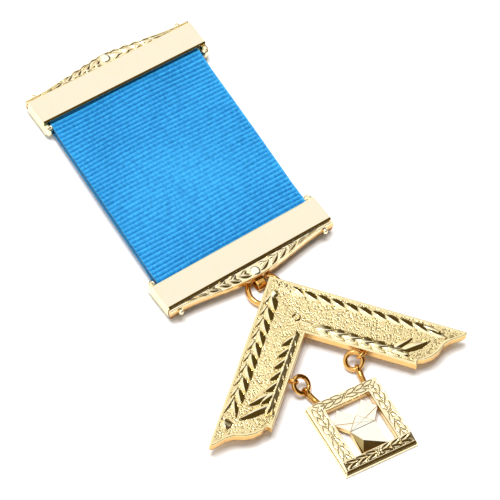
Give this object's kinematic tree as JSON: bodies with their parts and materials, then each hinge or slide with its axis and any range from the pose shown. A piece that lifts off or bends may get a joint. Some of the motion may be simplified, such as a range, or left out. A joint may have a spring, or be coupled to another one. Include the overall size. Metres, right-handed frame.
{
  "type": "breast jewel",
  "caption": "Gilt breast jewel: ornamented bars joined by a ribbed ribbon, with a ring, a right-angled square and a pierced plate hung inside its arms.",
  "frame": {"origin": "middle of the underside of the box round the jewel as it lies face up", "axes": "+Y points along the jewel from the plate to the top bar, +X along the top bar to the wearer's left, +Z out of the jewel's face"},
  "size_m": [0.0606, 0.1138, 0.0044],
  "materials": {
    "gilt_polished": "mirror polished",
    "gilt_cast": "cast, stippled and polished",
    "gilt_wire": "drawn wire, polished",
    "ribbon_blue": "ribbed weave"
  },
  "bodies": {
    "root": {"top_bar": "gilt_polished", "brooch_pin": "gilt_wire", "ribbon": "ribbon_blue", "bottom_bar": "gilt_polished", "hanging_ring": "gilt_wire", "square": "gilt_cast", "left_jump_ring": "gilt_wire", "right_jump_ring": "gilt_wire", "plate": "gilt_cast"}
  },
  "joints": []
}
